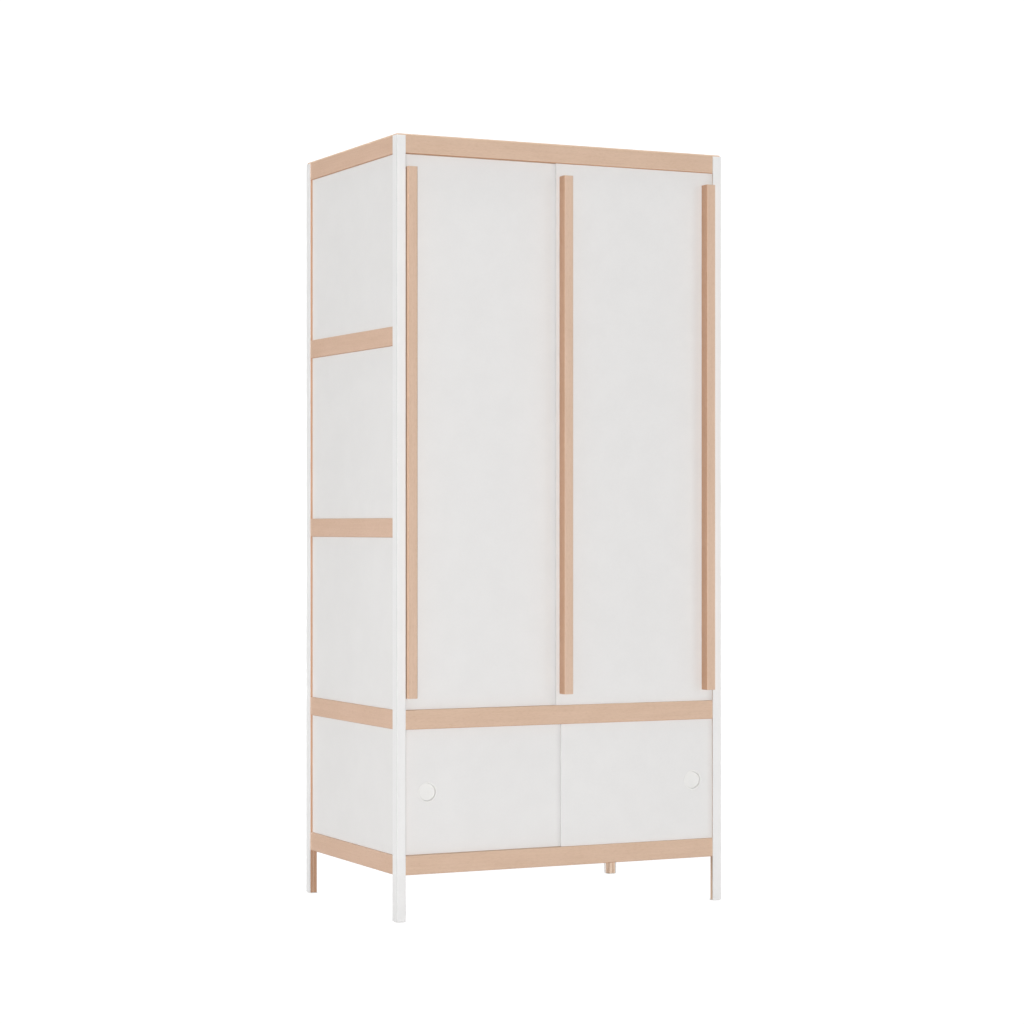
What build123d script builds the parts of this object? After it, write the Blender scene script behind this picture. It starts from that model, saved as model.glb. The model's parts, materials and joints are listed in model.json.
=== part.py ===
"""A free-standing wardrobe: white metal corner profiles over beech posts, beech rails, thin white
panels, and two pairs of sliding doors. Millimetres, +Z up, front towards -Y.

The origin is on the floor, under the middle of the whole box, bars included. A distance from an
outer face is measured from the outside of the corner profiles: `across` and `along` turn it into
an X or a Y.
"""

from build123d import *
import os

os.makedirs("parts", exist_ok=True)

# Overall sizes
width = 963.0  # over the corner profiles
depth = 636.0  # over the corner profiles
height = 2030.0

# Frame
leg_height = 120.0  # floor to the lowest rails
lower_storey = 325.0  # clear height of the lower row of panels
upper_rows = 3  # rows of side and back panels above the lower row
rail_height = 50.0
rail_setback = 0.0  # from the inside of the posts to the inside of the side and back rails
rail_ease = 2.0  # radius along the outer edges of a rail
front_rail_thickness = 30.0
profile_size = 26.0
profile_thickness = 3.0
profile_radius = 3.0
profile_edge_ease = 0.6
post_thickness = 18.5
glide_thickness = 1.5
glide_inset = 1.5  # from the outside of a corner profile
glide_radius = 4.0

# Panels and their grooves
panel_thickness = 3.0
panel_inset = 6.0  # rail face to panel face
panel_play = 0.2  # on each face of a panel in its groove
panel_groove_depth = 8.0
panel_end_gap = 1.0

# Boards
top_board_thickness = 4.0
top_board_ease = 1.0
shelf_thickness = 12.0
shelf_ledge = 6.5  # how far a side or back rail carries a shelf
front_shelf_ledge = 4.5
shelf_play = 0.5

# Dowels between posts and rails
dowel_radius = 3.0
dowel_in_post = 8.0
dowel_in_rail = 22.0
dowel_play = 0.1
dowel_end_gap = 0.5
dowel_cover = 3.0  # from a shelf's ledge to the nearer dowel
dowel_spacing = 12.0  # between the dowels of one post, so that they don't meet

# Sliding doors
leaf_thickness = 5.0
front_leaf_inset = 8.0  # front rail's face to the front leaf
track_pitch = 10.0  # front leaf's face to the rear leaf's face
track_play = 0.5
lower_groove_depth = 6.0
upper_groove_depth = 12.0  # deeper, so that a leaf lifts in and out
leaf_lift = 6.0  # how far a leaf stands in the groove above it
runner_thickness = 1.0
runner_play = 0.2
runner_gap = 0.3
closing_gap = 0.5
upper_leaf_overlap = 33.0
lower_leaf_past_middle = 2.0  # how far the lower right leaf passes the middle
lower_leaf_overlap = 16.8  # how far the lower left leaf runs on behind it

# Bars on the upper doors
bar_width = 26.0
bar_depth = 30.0
bar_ease = 2.0
bar_low_gap = 30.0  # to the rail below
bar_high_gap = 34.0  # to the rail above
bar_profile_gap = 3.5  # between an outer bar and the corner profile beside it
bar_inner_inset = 9.5  # from the meeting edge of its leaf
bar_screw_count = 4
bar_screw_margin = 120.0  # from a bar's end to its first screw
bar_screw_radius = 2.0
bar_screw_head_radius = 4.0
bar_screw_head_height = 2.0
bar_screw_head_slope = 45.0
bar_screw_length = 22.0
screw_play = 0.1
screw_end_gap = 0.5

# Finger pulls of the lower doors
pull_cup_radius = 23.0
pull_rim_width = 4.0
pull_wall = 2.0
pull_floor = 1.2
pull_depth = 6.3  # leaf's face to the floor of the cup
pull_proud = 1.0
pull_rim_ease = 0.45
pull_play = 0.2
left_pull_inset = 74.4  # from the closing edge of its leaf
right_pull_inset = 61.6
pull_height = 159.5  # above the rail below

# Hanging rod
rod_radius = 12.5
rod_wall = 1.5
rod_drop = 76.0  # underside of the top board to the rod's middle
rod_play = 0.3
rod_end_gap = 0.5
socket_plate_thickness = 3.0
socket_plate_width = 32.0
socket_plate_top_gap = 8.0  # below the top board
socket_cup_length = 12.0
socket_cup_wall = 4.0
socket_screw_radius = 2.0
socket_screw_head_radius = 4.2
socket_screw_head_height = 2.4
socket_screw_length = 14.0
socket_screw_places = (1 / 6, 7 / 10)  # up the solid part of the rail that the plate covers

# Places worked out from the sizes
core_inner = profile_thickness + post_thickness
rear_core_inner = profile_size
rail_thickness = post_thickness - rail_setback
rail_inner = profile_thickness + rail_thickness
glide_size = profile_size - 2 * glide_inset
front_leaf_depth = profile_thickness + front_leaf_inset
rear_leaf_depth = front_leaf_depth + track_pitch
bar_proud = bar_depth - front_leaf_depth
front_y = -(depth - bar_proud) / 2
rear_y = front_y + depth
frame_top = height - top_board_thickness
lower_rail_z = leg_height + rail_height + lower_storey
top_rail_z = height - rail_height
row_pitch = (top_rail_z - lower_rail_z) / upper_rows
level_names = ("bottom", "lower", "centre", "upper", "top")
level_z = (leg_height, *(lower_rail_z + row * row_pitch for row in range(upper_rows)), top_rail_z)
panel_names = ("bottom", "lower", "upper", "top")
groove_centre = profile_thickness + panel_inset + panel_thickness / 2
groove_width = panel_thickness + 2 * panel_play
groove_walls = (groove_centre - groove_width / 2, groove_centre + groove_width / 2)
panel_reach = panel_groove_depth - panel_end_gap
dowel_inset = (groove_walls[1] + rail_inner) / 2
front_dowel_inset = (profile_thickness + core_inner) / 2
cross_dowel_height = rail_height - shelf_thickness - dowel_cover - dowel_radius
side_dowel_height = cross_dowel_height - dowel_spacing
shelf_names = {"bottom": "bottom_board", "lower": "middle_board"}
tall_low = lower_rail_z + rail_height
low_low = leg_height + rail_height
leaf_rise = lower_groove_depth - runner_thickness - runner_gap
upper_leaf_low = tall_low - leaf_rise
upper_leaf_high = top_rail_z + leaf_lift
lower_leaf_low = low_low - leaf_rise
lower_leaf_high = lower_rail_z + leaf_lift
door_opening = width - 2 * core_inner - 2 * closing_gap
upper_leaf_width = (door_opening + upper_leaf_overlap) / 2
lower_right_leaf_width = door_opening / 2 + lower_leaf_past_middle
lower_left_leaf_width = door_opening - lower_right_leaf_width + lower_leaf_overlap
bar_low = tall_low + bar_low_gap
bar_high = top_rail_z - bar_high_gap
rod_z = frame_top - rod_drop
rod_y = (front_y + rear_y) / 2
plate_top = frame_top - socket_plate_top_gap
rail_solid = (top_rail_z + panel_groove_depth, plate_top)
socket_screw_heights = [
    rail_solid[0] + place * (rail_solid[1] - rail_solid[0]) for place in socket_screw_places
]
bar_outer_inset = profile_size + bar_profile_gap - core_inner - closing_gap
leaf_cup_hole = pull_cup_radius + pull_wall + pull_play
SIDES = {"left": -1, "right": 1}


def across(side, inset):
    """X of a point `inset` in from the outer face on one side: -1 is left, 1 is right."""
    return side * (width / 2 - inset)


def along(end, inset):
    """Y of a point `inset` in from the outer face at one end: -1 is the front, 1 is the rear."""
    return front_y + inset if end < 0 else rear_y - inset


def save(piece, node):
    """Labels a finished piece and writes it as its own STEP."""
    piece.part.label = node
    export_step(piece.part, f"parts/{node}.step")


def rectangle_between(a, b, low, high, mode=Mode.ADD):
    """A rectangle in the current sketch, between two corners given in any order."""
    with Locations(((a + b) / 2, (low + high) / 2)):
        Rectangle(abs(b - a), abs(high - low), mode=mode)


def block(xs, ys, zs, mode=Mode.ADD):
    """A box in the current part, between two values along each axis."""
    with BuildSketch(Plane.XY.offset(min(zs))) as outline:
        rectangle_between(*xs, *ys)
    extrude(outline.sketch, amount=abs(zs[1] - zs[0]), mode=mode)


def rod_along(start, end, radius, mode=Mode.ADD):
    """A round rod in the current part, from one point to another."""
    path = Vector(end) - Vector(start)
    with BuildSketch(Plane(origin=start, z_dir=path.normalized())) as disc:
        Circle(radius)
    extrude(disc.sketch, amount=path.length, mode=mode)


def rail_top(name):
    """Z of a rail's top face: the top board lies on the highest rails."""
    return frame_top if name == "top" else level_z[level_names.index(name)] + rail_height


def dowels():
    """Yields each dowel: its post, its rail, a point on the joint and the way from post to rail."""
    for level, z in zip(level_names, level_z):
        for side_name, side in SIDES.items():
            for end_name, end in (("front", -1), ("rear", 1)):
                inset = core_inner if end < 0 else rear_core_inner
                x = across(side, dowel_inset)
                joint = (x, along(end, inset), z + side_dowel_height)
                yield (end_name, side_name), f"{side_name}_rail_{level}", joint, (0, -end, 0)
            x = across(side, core_inner)
            joint = (x, along(1, dowel_inset), z + cross_dowel_height)
            yield ("rear", side_name), f"back_rail_{level}", joint, (-side, 0, 0)
    for front, level in (("bottom", 0), ("middle", 1), ("top", len(level_z) - 1)):
        for side_name, side in SIDES.items():
            y = along(-1, front_dowel_inset)
            joint = (across(side, core_inner), y, level_z[level] + cross_dowel_height)
            yield ("front", side_name), f"front_rail_{front}", joint, (-side, 0, 0)


def dowel_bores(piece):
    """Bores the current part for the dowels of the post or rail named `piece`."""
    for post, rail, joint, way in dowels():
        if piece == rail:
            end = Vector(joint) + Vector(way) * dowel_in_rail
        elif piece == post:
            end = Vector(joint) - Vector(way) * dowel_in_post
        else:
            continue
        rod_along(joint, end, dowel_radius + dowel_play, mode=Mode.SUBTRACT)


# Corner profiles, posts and glides
for end_name, end in (("front", -1), ("rear", 1)):
    for side_name, side in SIDES.items():
        with BuildPart() as profile:
            with BuildSketch(Plane.XY.offset(glide_thickness)) as angle:
                rectangle_between(
                    across(side, 0), across(side, profile_size), along(end, 0), along(end, profile_size)
                )
                rectangle_between(
                    across(side, profile_thickness),
                    across(side, profile_size),
                    along(end, profile_thickness),
                    along(end, profile_size),
                    mode=Mode.SUBTRACT,
                )
                corner = Vector(across(side, 0), along(end, 0))
                outer = angle.vertices().sort_by_distance(corner)[0]
                tips = angle.vertices().sort_by_distance(corner)[-4:]
                fillet(outer, radius=profile_radius)
                fillet(tips, radius=profile_edge_ease)
            extrude(amount=frame_top - glide_thickness)
        save(profile, f"corner_profile_{end_name}_{side_name}")

        post_end = core_inner if end < 0 else rear_core_inner
        groove = [across(side, wall) for wall in groove_walls]
        with BuildPart() as post:
            with BuildSketch(Plane.XY.offset(glide_thickness)):
                rectangle_between(
                    across(side, profile_thickness),
                    across(side, core_inner),
                    along(end, profile_thickness),
                    along(end, post_end),
                )
                groove_floor = along(end, post_end - panel_groove_depth)
                rectangle_between(*groove, groove_floor, along(end, post_end), mode=Mode.SUBTRACT)
                if end_name == "rear":
                    rectangle_between(
                        across(side, core_inner - panel_groove_depth),
                        across(side, core_inner),
                        *(along(end, wall) for wall in groove_walls),
                        mode=Mode.SUBTRACT,
                    )
            extrude(amount=frame_top - glide_thickness)
            dowel_bores((end_name, side_name))
        save(post, f"post_{end_name}_{side_name}")

with BuildPart() as glides:
    with BuildSketch():
        for end in (-1, 1):
            for side in SIDES.values():
                with Locations((across(side, profile_size / 2), along(end, profile_size / 2))):
                    RectangleRounded(glide_size, glide_size, glide_radius)
    extrude(amount=glide_thickness)
save(glides, "floor_glides")

with BuildPart() as dowel_set:
    for _, _, joint, way in dowels():
        start = Vector(joint) - Vector(way) * (dowel_in_post - dowel_end_gap)
        end = Vector(joint) + Vector(way) * (dowel_in_rail - dowel_end_gap)
        rod_along(start, end, dowel_radius)
save(dowel_set, "rail_dowels")


def rail_section(section, outer_sign, place, name):
    """Draws a grooved rail across its length in the current sketch: eased outer edges, but for the
    one under the top board, a panel groove on each side that has a panel, and a shelf's ledge.

    `place` turns a distance from the outer face into the sketch's first coordinate, and
    `outer_sign` is -1 where that outer face has the lower coordinate.
    """
    low, high = level_z[level_names.index(name)], rail_top(name)
    rectangle_between(place(profile_thickness), place(rail_inner), low, high)
    outer = section.vertices().sort_by(Axis.X, reverse=outer_sign > 0)[:2].sort_by(Axis.Y)
    fillet(outer[:1] if name == "top" else outer, radius=rail_ease)
    groove = [place(wall) for wall in groove_walls]
    if name != "bottom":
        rectangle_between(*groove, low, low + panel_groove_depth, mode=Mode.SUBTRACT)
    if name != "top":
        rectangle_between(*groove, high - panel_groove_depth, high, mode=Mode.SUBTRACT)
    if name in shelf_names:
        ledge = place(rail_inner - shelf_ledge)
        rectangle_between(ledge, place(rail_inner), high - shelf_thickness, high, mode=Mode.SUBTRACT)


# Side and back rails
rod_plate_y = (rod_y - socket_plate_width / 2, rod_y + socket_plate_width / 2)
side_rail_rear = along(1, rear_core_inner)
side_rail_length = side_rail_rear - along(-1, core_inner)
back_rail_start = across(-1, core_inner)
cross_length = width - 2 * core_inner
for name in level_names:
    for side_name, side in SIDES.items():
        with BuildPart() as side_rail:
            with BuildSketch(Plane.XZ.offset(-side_rail_rear)) as section:
                rail_section(section, side, lambda inset: across(side, inset), name)
            extrude(amount=side_rail_length)
            dowel_bores(f"{side_name}_rail_{name}")
            if name == "top":
                for z in socket_screw_heights:
                    start = (across(side, rail_inner), rod_y, z)
                    end = (across(side, rail_inner - socket_screw_length), rod_y, z)
                    rod_along(start, end, socket_screw_radius + screw_play, mode=Mode.SUBTRACT)
        save(side_rail, f"{side_name}_rail_{name}")

    with BuildPart() as back_rail:
        with BuildSketch(Plane.YZ.offset(back_rail_start)) as section:
            rail_section(section, 1, lambda inset: along(1, inset), name)
        extrude(amount=cross_length)
        dowel_bores(f"back_rail_{name}")
    save(back_rail, f"back_rail_{name}")


def door_grooves(low, high):
    """Cuts the two door tracks across the current sketch, between two heights."""
    for leaf_depth in (front_leaf_depth, rear_leaf_depth):
        rectangle_between(
            along(-1, leaf_depth - track_play),
            along(-1, leaf_depth + leaf_thickness + track_play),
            low,
            high,
            mode=Mode.SUBTRACT,
        )


# Front rails, with the door tracks
front_rails = {"bottom": "bottom", "middle": "lower", "top": "top"}
front_rail_inner = profile_thickness + front_rail_thickness
for front_name, name in front_rails.items():
    low, high = level_z[level_names.index(name)], rail_top(name)
    with BuildPart() as front_rail:
        with BuildSketch(Plane.YZ.offset(back_rail_start)) as section:
            rectangle_between(along(-1, profile_thickness), along(-1, front_rail_inner), low, high)
            outer = section.vertices().sort_by(Axis.X)[:2].sort_by(Axis.Y)
            fillet(outer[:1] if front_name == "top" else outer, radius=rail_ease)
            if front_name != "bottom":
                door_grooves(low, low + upper_groove_depth)
            if front_name != "top":
                door_grooves(high - lower_groove_depth, high)
                rectangle_between(
                    along(-1, front_rail_inner - front_shelf_ledge),
                    along(-1, front_rail_inner),
                    high - shelf_thickness,
                    high,
                    mode=Mode.SUBTRACT,
                )
        extrude(amount=cross_length)
        dowel_bores(f"front_rail_{front_name}")
    save(front_rail, f"front_rail_{front_name}")

# Runner strips in the floors of the lower tracks
with BuildPart() as runners:
    for track_top in (low_low, tall_low):
        floor = track_top - lower_groove_depth
        for leaf_depth in (front_leaf_depth, rear_leaf_depth):
            block(
                (across(-1, core_inner + runner_play), across(1, core_inner + runner_play)),
                (
                    along(-1, leaf_depth - track_play + runner_play),
                    along(-1, leaf_depth + leaf_thickness + track_play - runner_play),
                ),
                (floor, floor + runner_thickness),
            )
save(runners, "door_runners")

# Side and back panels
panel_face = groove_centre - panel_thickness / 2
panel_back = groove_centre + panel_thickness / 2
for row, name in enumerate(panel_names):
    rows = (level_z[row] + rail_height - panel_reach, level_z[row + 1] + panel_reach)
    for side_name, side in SIDES.items():
        with BuildPart() as side_panel:
            block(
                (across(side, panel_face), across(side, panel_back)),
                (along(-1, core_inner - panel_reach), along(1, rear_core_inner - panel_reach)),
                rows,
            )
        save(side_panel, f"{side_name}_panel_{name}")
    with BuildPart() as back_panel:
        block(
            (across(-1, core_inner - panel_reach), across(1, core_inner - panel_reach)),
            (along(1, panel_face), along(1, panel_back)),
            rows,
        )
    save(back_panel, f"back_panel_{name}")

# Boards: a thin top, and two shelves let into the rails' ledges
with BuildPart() as top_board:
    block(
        (across(-1, profile_thickness), across(1, profile_thickness)),
        (along(-1, profile_thickness), along(1, profile_thickness)),
        (frame_top, height),
    )
    fillet(top_board.faces().sort_by(Axis.Z)[-1].edges(), radius=top_board_ease)
save(top_board, "top_board")

shelf_side = rail_inner - shelf_ledge + shelf_play
shelf_front = front_rail_inner - front_shelf_ledge + shelf_play
for name, node in shelf_names.items():
    with BuildPart() as shelf:
        high = rail_top(name)
        with BuildSketch(Plane.XY.offset(high - shelf_thickness)):
            rectangle_between(
                across(-1, shelf_side), across(1, shelf_side), along(-1, shelf_front), along(1, shelf_side)
            )
            for side in SIDES.values():
                rectangle_between(
                    across(side, 0),
                    across(side, core_inner + shelf_play),
                    along(1, 0),
                    along(1, rear_core_inner + shelf_play),
                    mode=Mode.SUBTRACT,
                )
        extrude(amount=shelf_thickness)
    save(shelf, node)


def screw_heights():
    """Z of each screw of a bar, evenly spaced between its margins."""
    low, high = bar_low + bar_screw_margin, bar_high - bar_screw_margin
    return [low + (high - low) * i / (bar_screw_count - 1) for i in range(bar_screw_count)]


# Upper doors: the left leaf runs in the rear track, the right one in the front track
upper_doors = {
    "left": (
        rear_leaf_depth,
        across(-1, core_inner + closing_gap),
        {"upper_left_door_bar": bar_outer_inset},
    ),
    "right": (
        front_leaf_depth,
        across(1, core_inner + closing_gap) - upper_leaf_width,
        {
            "upper_right_door_bar_inner": bar_inner_inset,
            "upper_right_door_bar_outer": upper_leaf_width - bar_outer_inset - bar_width,
        },
    ),
}
for side_name, (leaf_depth, leaf_x, bars) in upper_doors.items():
    face, back = along(-1, leaf_depth), along(-1, leaf_depth + leaf_thickness)
    screws = [(leaf_x + inset + bar_width / 2, z) for inset in bars.values() for z in screw_heights()]
    with BuildPart() as leaf:
        block((leaf_x, leaf_x + upper_leaf_width), (face, back), (upper_leaf_low, upper_leaf_high))
        for x, z in screws:
            with Locations(Plane(origin=(x, back, z), x_dir=(1, 0, 0), z_dir=(0, 1, 0))):
                CounterSinkHole(bar_screw_radius + screw_play, bar_screw_head_radius + screw_play)
    save(leaf, f"upper_{side_name}_door")

    for node, inset in bars.items():
        bar_x = leaf_x + inset
        with BuildPart() as bar:
            block((bar_x, bar_x + bar_width), (face - bar_depth, face), (bar_low, bar_high))
            front_face = bar.faces().sort_by(Axis.Y)[0]
            fillet(front_face.edges(), radius=bar_ease)
            for z in screw_heights():
                x = bar_x + bar_width / 2
                end = (x, back - bar_screw_length - screw_end_gap, z)
                rod_along((x, face, z), end, bar_screw_radius + screw_play, mode=Mode.SUBTRACT)
        save(bar, node)

    with BuildPart() as bar_screws:
        for x, z in screws:
            rod_along((x, back, z), (x, back - bar_screw_length, z), bar_screw_radius)
            with BuildSketch(Plane(origin=(x, back, z), x_dir=(1, 0, 0), z_dir=(0, -1, 0))):
                Circle(bar_screw_head_radius)
            extrude(amount=bar_screw_head_height, taper=bar_screw_head_slope)
    save(bar_screws, f"upper_{side_name}_bar_screws")

# Lower doors, each with a round finger pull near its outer edge
lower_doors = {
    "left": (rear_leaf_depth, lower_left_leaf_width, left_pull_inset),
    "right": (front_leaf_depth, lower_right_leaf_width, right_pull_inset),
}
pull_z = low_low + pull_height
for side_name, (leaf_depth, leaf_width, inset) in lower_doors.items():
    side = SIDES[side_name]
    face, back = along(-1, leaf_depth), along(-1, leaf_depth + leaf_thickness)
    closing_edge = across(side, core_inner + closing_gap)
    pull_x = closing_edge - side * inset
    with BuildPart() as leaf:
        meeting_edge = closing_edge - side * leaf_width
        block((closing_edge, meeting_edge), (face, back), (lower_leaf_low, lower_leaf_high))
        rod_along((pull_x, face, pull_z), (pull_x, back, pull_z), leaf_cup_hole, mode=Mode.SUBTRACT)
    save(leaf, f"lower_{side_name}_door")

    cup_back = face + pull_depth + pull_floor
    with BuildPart() as pull:
        rim_face, cup_floor = face - pull_proud, face + pull_depth
        rim_radius, cup_wall_radius = pull_cup_radius + pull_rim_width, pull_cup_radius + pull_wall
        rod_along((pull_x, rim_face, pull_z), (pull_x, face, pull_z), rim_radius)
        rod_along((pull_x, face, pull_z), (pull_x, cup_back, pull_z), cup_wall_radius)
        rod_along(
            (pull_x, rim_face, pull_z),
            (pull_x, cup_floor, pull_z),
            pull_cup_radius,
            mode=Mode.SUBTRACT,
        )
        fillet(pull.faces().sort_by(Axis.Y)[0].edges(), radius=pull_rim_ease)
    save(pull, f"lower_{side_name}_pull")

# Hanging rod in two open-topped sockets that hang from the top side rails
rod_inset = rail_inner + socket_plate_thickness + rod_end_gap
with BuildPart() as rod:
    with BuildSketch(Plane.YZ.offset(across(-1, rod_inset))):
        with Locations((rod_y, rod_z)):
            Circle(rod_radius)
            Circle(rod_radius - rod_wall, mode=Mode.SUBTRACT)
    extrude(amount=width - 2 * rod_inset)
save(rod, "hanging_rod")

cup_bore = rod_radius + rod_play
cup_radius = cup_bore + socket_cup_wall
for side_name, side in SIDES.items():
    plate_face = across(side, rail_inner + socket_plate_thickness)
    cup_face = across(side, rail_inner + socket_plate_thickness + socket_cup_length)
    with BuildPart() as socket:
        block((across(side, rail_inner), plate_face), rod_plate_y, (rod_z, plate_top))
        rod_along((across(side, rail_inner), rod_y, rod_z), (cup_face, rod_y, rod_z), cup_radius)
        rod_along((plate_face, rod_y, rod_z), (cup_face, rod_y, rod_z), cup_bore, mode=Mode.SUBTRACT)
        block(
            (plate_face, cup_face),
            (rod_y - cup_bore, rod_y + cup_bore),
            (rod_z, rod_z + cup_radius),
            mode=Mode.SUBTRACT,
        )
        for z in socket_screw_heights:
            rod_along(
                (across(side, rail_inner), rod_y, z),
                (plate_face, rod_y, z),
                socket_screw_radius + screw_play,
                mode=Mode.SUBTRACT,
            )
    save(socket, f"rod_socket_{side_name}")

with BuildPart() as socket_screws:
    for side in SIDES.values():
        plate_face = across(side, rail_inner + socket_plate_thickness)
        tip = across(side, rail_inner - socket_screw_length + screw_end_gap)
        head = across(side, rail_inner + socket_plate_thickness + socket_screw_head_height)
        for z in socket_screw_heights:
            rod_along((plate_face, rod_y, z), (tip, rod_y, z), socket_screw_radius)
            rod_along((plate_face, rod_y, z), (head, rod_y, z), socket_screw_head_radius)
save(socket_screws, "socket_screws")
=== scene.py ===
"""Looks of a free-standing wardrobe with white metal corners, beech rails and sliding doors.

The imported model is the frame. Each class below makes the pieces of one sub-assembly, and each piece
stands for one node of the model and moves with that node's body. Sizes are in metres.
"""

import json
import logging
import math
from collections.abc import Iterable
from dataclasses import dataclass, field
from enum import Enum

import bmesh
import bpy
from mathutils import Matrix, Vector

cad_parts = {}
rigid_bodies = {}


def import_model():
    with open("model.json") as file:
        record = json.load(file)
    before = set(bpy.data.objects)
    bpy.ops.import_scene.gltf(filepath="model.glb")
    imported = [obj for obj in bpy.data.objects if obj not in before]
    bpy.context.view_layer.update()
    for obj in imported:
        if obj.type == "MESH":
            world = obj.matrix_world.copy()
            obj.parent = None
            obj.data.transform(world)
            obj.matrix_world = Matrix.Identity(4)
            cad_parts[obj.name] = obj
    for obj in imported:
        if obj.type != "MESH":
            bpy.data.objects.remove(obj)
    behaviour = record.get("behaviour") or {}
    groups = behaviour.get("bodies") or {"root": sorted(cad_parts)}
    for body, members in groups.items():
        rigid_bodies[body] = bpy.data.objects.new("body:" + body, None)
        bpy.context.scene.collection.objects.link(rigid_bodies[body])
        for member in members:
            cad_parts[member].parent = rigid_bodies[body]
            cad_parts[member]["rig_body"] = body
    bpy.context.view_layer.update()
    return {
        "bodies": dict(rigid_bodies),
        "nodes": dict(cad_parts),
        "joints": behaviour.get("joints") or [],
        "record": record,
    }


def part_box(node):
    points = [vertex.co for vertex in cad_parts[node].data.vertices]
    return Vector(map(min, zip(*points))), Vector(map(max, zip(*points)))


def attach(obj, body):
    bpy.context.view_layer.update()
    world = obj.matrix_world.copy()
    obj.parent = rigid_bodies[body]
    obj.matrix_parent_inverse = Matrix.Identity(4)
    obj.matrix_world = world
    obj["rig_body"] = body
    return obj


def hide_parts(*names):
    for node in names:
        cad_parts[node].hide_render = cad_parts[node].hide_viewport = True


LOG = logging.getLogger("wardrobe")

Mesh = bmesh.types.BMesh
Node = bpy.types.Node
Socket = bpy.types.NodeSocket
Span = tuple[float, float]
Colour = tuple[float, float, float]

MM = 0.001
SAME_PLACE = 1e-6
CUT_SLACK = 1e-7
FLAT_ANGLE = math.radians(0.1)
NOISE_SPREAD: Span = (0.3, 0.7)
WHITE = (1.0, 1.0, 1.0, 1.0)


class Choice(Enum):
    """A choice among named options, whose names are also said in lower case."""

    @property
    def word(self) -> str:
        """The name as the nodes and the cuts spell it."""
        return self.name.lower()


class Axis(Choice):
    """An axis of the wardrobe's frame."""

    X = 0
    Y = 1
    Z = 2

    @property
    def unit(self) -> Vector:
        """A vector one metre long along the axis."""
        return Vector([float(way == self.value) for way in range(3)])

    def after(self, steps: int) -> "Axis":
        """The axis that comes some steps after this one, round from X to Y to Z."""
        return Axis((self.value + steps) % 3)


class Side(Choice):
    """One side of the wardrobe, with the sign of X there."""

    LEFT = -1
    RIGHT = 1

    @property
    def axis(self) -> Axis:
        """The axis that runs from side to side."""
        return Axis.X


class End(Choice):
    """The front or the rear of the wardrobe, with the sign of Y there."""

    FRONT = -1
    REAR = 1

    @property
    def axis(self) -> Axis:
        """The axis that runs from front to rear."""
        return Axis.Y


Way = Side | End


# ---------------------------------------------------------------------------------------------
# Shaping
# ---------------------------------------------------------------------------------------------


@dataclass(frozen=True)
class Box:
    """A box between two corners."""

    low: Vector
    high: Vector

    @classmethod
    def of(cls, node: str) -> "Box":
        """The box of a node of the model at rest."""
        return cls(*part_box(node))

    @property
    def size(self) -> Vector:
        """The lengths of the box's sides."""
        return self.high - self.low

    @property
    def middle(self) -> Vector:
        """The middle of the box."""
        return (self.low + self.high) / 2

    def outer(self, way: Way) -> float:
        """Where the box ends towards a side or an end of the wardrobe."""
        return (self.low if way.value < 0 else self.high)[way.axis.value]

    def inner(self, way: Way) -> float:
        """Where the box ends away from a side or an end of the wardrobe."""
        return (self.high if way.value < 0 else self.low)[way.axis.value]

    def spanning(self, **spans: Span) -> "Box":
        """A copy of the box with other limits along some axes.

        Args:
            spans: low and high limit for each of x, y and z that changes.

        Returns:
            The new box.
        """
        low, high = self.low.copy(), self.high.copy()
        for name, span in spans.items():
            way = Axis[name.upper()].value
            low[way], high[way] = min(span), max(span)
        return Box(low, high)


def soften(mesh: Mesh, width: float, segments: int = 2, sharper_than: float = 40.0) -> None:
    """Bevels the sharp outward edges of a mesh.

    Args:
        mesh: the mesh, with its faces pointing outwards.
        width: how far the bevel reaches from the edge.
        segments: how many steps the bevel has.
        sharper_than: the angle in degrees between two faces from which their edge counts as sharp.
    """
    limit = math.radians(sharper_than)
    sharp = [
        edge
        for edge in mesh.edges
        if edge.is_manifold and edge.is_convex and edge.calc_face_angle() > limit
    ]
    bmesh.ops.bevel(
        mesh,
        geom=sharp,
        offset=width,
        segments=segments,
        affect="EDGES",
        profile=0.5,
        material=-1,
        clamp_overlap=True,
    )


def push_out(mesh: Mesh, faces: list[bmesh.types.BMFace], way: Iterable[float]) -> None:
    """Extrudes faces of a mesh and moves the new ones by a vector."""
    swept = bmesh.ops.extrude_face_region(mesh, geom=faces)
    moved = [part for part in swept["geom"] if isinstance(part, bmesh.types.BMVert)]
    bmesh.ops.translate(mesh, vec=way, verts=moved)


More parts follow.
